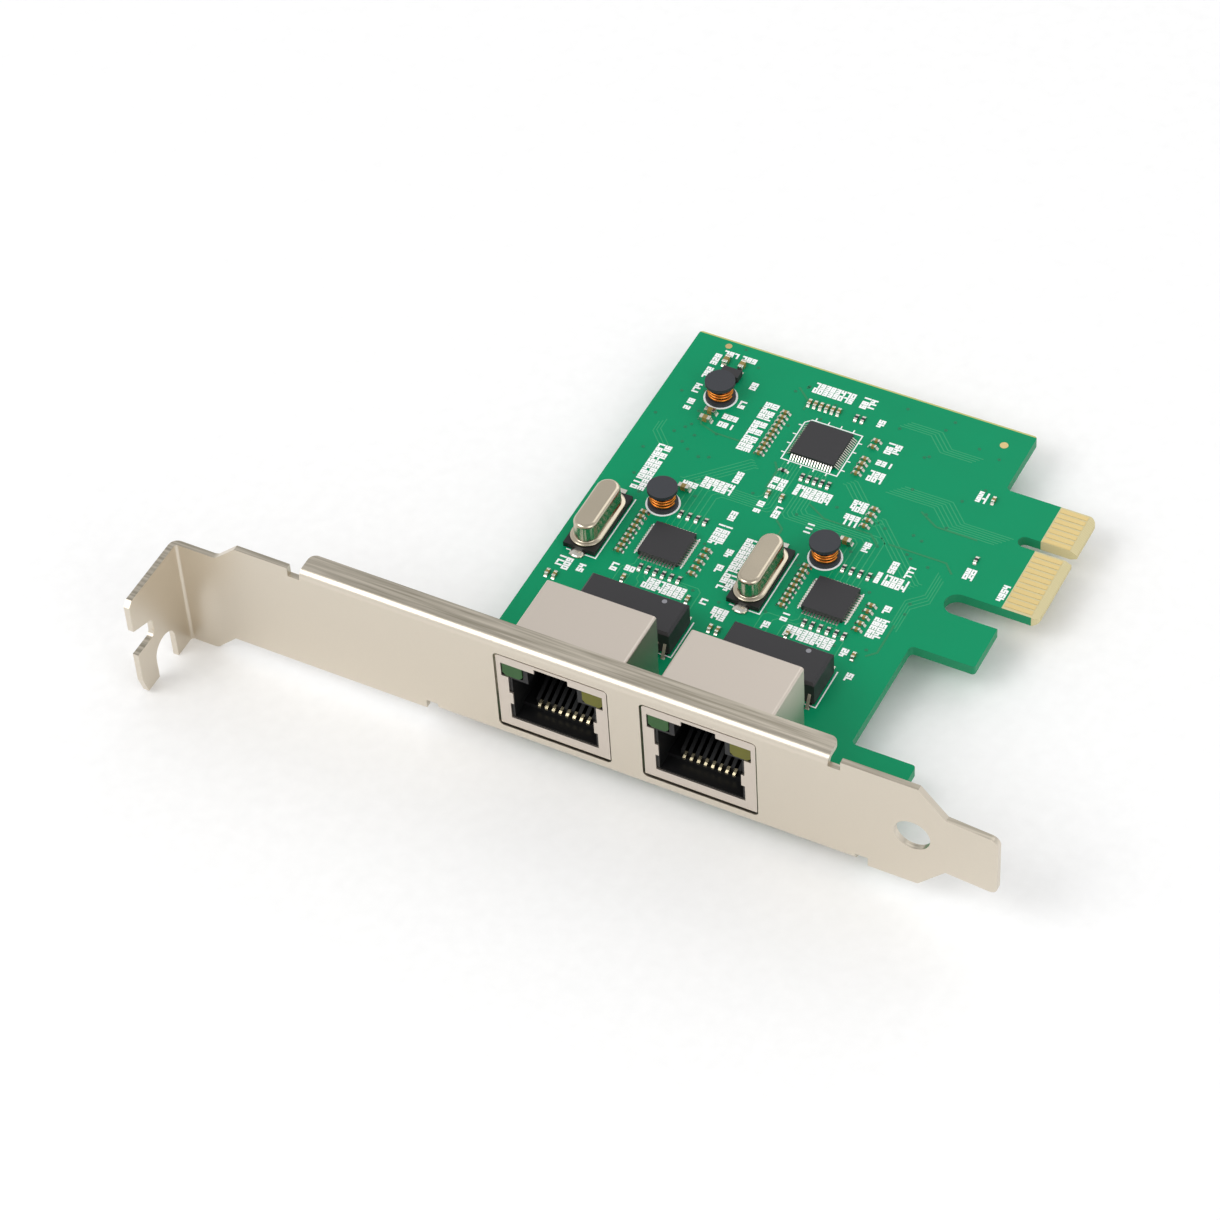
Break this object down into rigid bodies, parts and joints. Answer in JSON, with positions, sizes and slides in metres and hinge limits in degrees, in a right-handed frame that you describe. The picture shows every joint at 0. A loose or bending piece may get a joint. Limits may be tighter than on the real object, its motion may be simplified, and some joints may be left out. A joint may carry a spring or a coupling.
{
  "type": "network interface card",
  "caption": "Dual-port wired network interface card on a full-height slot bracket, with a short keyed edge connector.",
  "frame": {"origin": "corner where the screw tab's outer face (X=0), the plate's outer face (Y=0) and the lower edge of the plate's band (Z=0) meet", "axes": "+X along the bracket from the screw tab to the tongue, towards the host board's slot; +Y from the bracket into the computer; +Z from the solder side to the component side"},
  "size_m": [0.12, 0.0893, 0.0216],
  "materials": {
    "bracket_steel": "nickel plated, fine brushing",
    "board_laminate": "green solder mask, semi-gloss",
    "gold_plating": "plated, satin",
    "shield_metal": "tin plated, satin",
    "insert_plastic": "moulded, matte",
    "green_lens": "translucent, gloss",
    "yellow_lens": "translucent, gloss",
    "mould_compound": "moulded, fine matte",
    "lead_tin": "tinned",
    "can_steel": "drawn, bright",
    "ferrite": "sintered, matte",
    "copper_wire": "enamelled, gloss",
    "capacitor_ceramic": "fired, satin",
    "resistor_glaze": "glazed, satin",
    "screw_zinc": "zinc plated"
  },
  "bodies": {
    "root": {"bracket": "bracket_steel", "circuit_board": "board_laminate", "edge_contacts_top": "gold_plating", "edge_contacts_bottom": "gold_plating", "board_screws": "screw_zinc", "crystal_terminals": "lead_tin", "switch_chip": "mould_compound", "switch_chip_leads": "lead_tin", "regulator": "mould_compound", "regulator_leads": "lead_tin", "chip_capacitors": "capacitor_ceramic", "chip_resistors": "resistor_glaze", "jack_shield_left": "shield_metal", "jack_insert_left": "insert_plastic", "lamp_green_left": "green_lens", "lamp_yellow_left": "yellow_lens", "jack_springs_left": "gold_plating", "spring_carrier_left": "insert_plastic", "jack_tails_left": "lead_tin", "transformer_left": "mould_compound", "transformer_leads_left": "lead_tin", "crystal_can_left": "can_steel", "crystal_base_left": "insert_plastic", "network_chip_left": "mould_compound", "jack_shield_right": "shield_metal", "jack_insert_right": "insert_plastic", "lamp_green_right": "green_lens", "lamp_yellow_right": "yellow_lens", "jack_springs_right": "gold_plating", "spring_carrier_right": "insert_plastic", "jack_tails_right": "lead_tin", "transformer_right": "mould_compound", "transformer_leads_right": "lead_tin", "crystal_can_right": "can_steel", "crystal_base_right": "insert_plastic", "network_chip_right": "mould_compound", "inductor_core_far": "ferrite", "inductor_winding_far": "copper_wire", "inductor_core_left": "ferrite", "inductor_winding_left": "copper_wire", "inductor_core_middle": "ferrite", "inductor_winding_middle": "copper_wire"}
  },
  "joints": []
}
